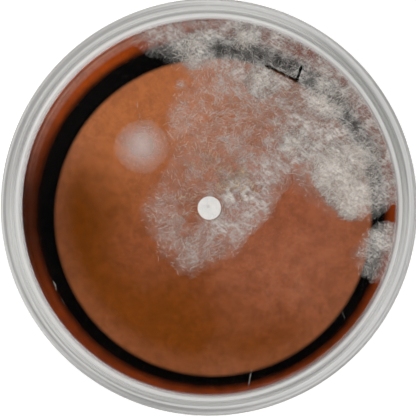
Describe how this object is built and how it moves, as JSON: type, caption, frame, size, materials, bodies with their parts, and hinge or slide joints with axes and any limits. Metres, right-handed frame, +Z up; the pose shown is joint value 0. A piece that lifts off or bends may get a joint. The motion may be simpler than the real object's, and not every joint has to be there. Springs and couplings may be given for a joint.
{
  "type": "petri dish",
  "caption": "Round clear plastic culture dish with a lift-off vented lid, poured with agar that carries a paper disc and patches of mould.",
  "frame": {"origin": "centre of the foot ring's plane, where the dish stands on the bench", "axes": "+Z up along the dish's axis, +X to the right and +Y away from the viewer, seen from above"},
  "size_m": [0.094, 0.094, 0.016],
  "materials": {
    "base_plastic": "gloss",
    "lid_plastic": "gloss",
    "agar": "gloss",
    "disc_paper": "matte",
    "mould_mat": "matte",
    "mould_tuft": "matte",
    "mould_haze": "matte"
  },
  "bodies": {
    "base": {"base_dish": "base_plastic", "agar_medium": "agar", "filter_disc": "disc_paper", "centre_colony": "mould_mat", "young_colony": "mould_haze", "rim_colony": "mould_mat", "rim_tufts": "mould_tuft", "edge_colony": "mould_tuft"},
    "lid": {"lid": "lid_plastic"}
  },
  "joints": [
    {"name": "lid_lift", "type": "slide", "parent": "base", "child": "lid", "axis": [0, 0, 1], "range_m": [0, 0.03]}
  ]
}
